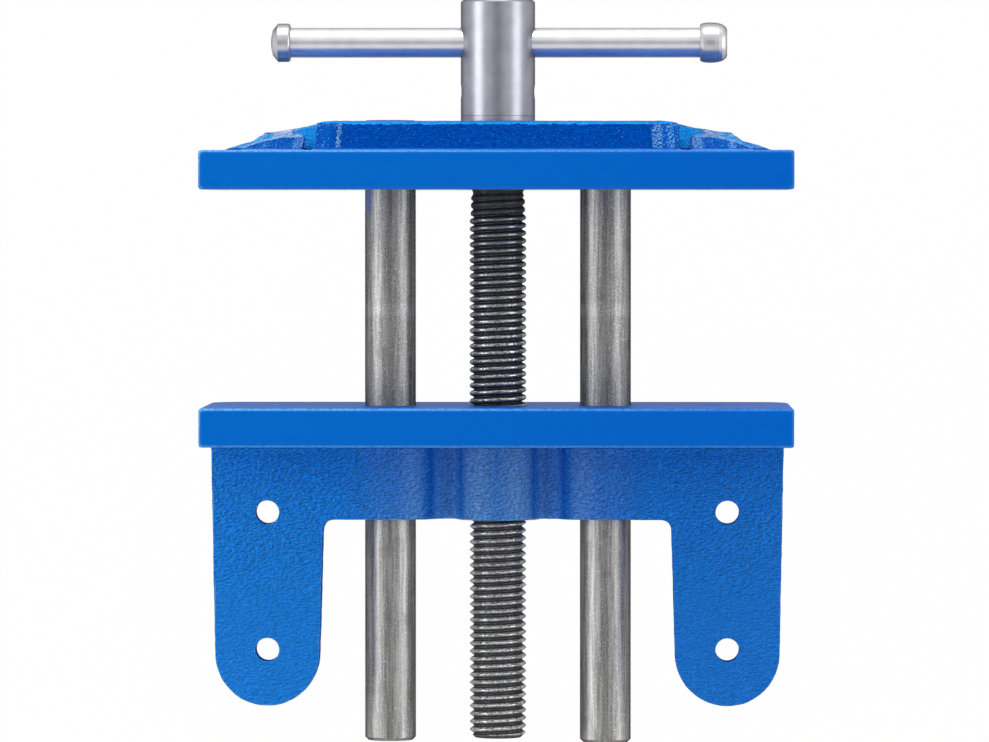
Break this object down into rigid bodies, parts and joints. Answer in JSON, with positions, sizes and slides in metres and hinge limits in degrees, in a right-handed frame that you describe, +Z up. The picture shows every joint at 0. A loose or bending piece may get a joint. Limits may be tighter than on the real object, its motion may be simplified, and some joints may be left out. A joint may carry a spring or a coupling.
{
  "type": "woodworking vise",
  "caption": "Under-bench woodworking vise: screw-driven front jaw on round guide rods, fixed rear jaw with lugs that bolt under the bench, and a sliding bar handle.",
  "frame": {"origin": "middle of the pattern of four bench bolts, on the lugs' upper face, which meets the underside of the bench", "axes": "+Z up out of the lugs' face towards the bench, +Y from the handle towards the rear ends of the rods, +X across the jaws, to the right for someone at the handle"},
  "size_m": [0.15, 0.19, 0.06],
  "materials": {
    "blue_enamel": "gloss paint",
    "drawn_steel": "satin",
    "blackened_steel": "oiled black oxide",
    "bright_steel": "bright zinc",
    "spring_steel": "dark"
  },
  "bodies": {
    "base": {"fixed_jaw": "blue_enamel"},
    "front": {"moving_jaw": "blue_enamel", "guide_rod_left": "drawn_steel", "guide_rod_right": "drawn_steel", "rod_pin_left": "spring_steel", "rod_pin_right": "spring_steel", "front_washer": "bright_steel", "rear_washer": "bright_steel"},
    "spindle": {"lead_screw": "blackened_steel", "screw_head": "bright_steel", "head_pin": "spring_steel"},
    "handle": {"handle_bar": "bright_steel", "handle_cap_left": "bright_steel", "handle_cap_right": "bright_steel"}
  },
  "joints": [
    {"name": "jaw_slide", "type": "slide", "parent": "base", "child": "front", "axis": [0, 1, 0], "range_m": [-0.055, 0.0548]},
    {"name": "screw_spin", "type": "hinge", "parent": "front", "child": "spindle", "pos_m": [0, -0.13, -0.0115], "axis": [0, 1, 0], "range_deg": [-9901, 9865]},
    {"name": "bar_slide", "type": "slide", "parent": "spindle", "child": "handle", "axis": [1, 0, 0], "range_m": [-0.0432, 0.0418]}
  ],
  "couplings": [
    {"joint": "screw_spin", "follows": "jaw_slide", "rad_per_m": 3141.6}
  ]
}
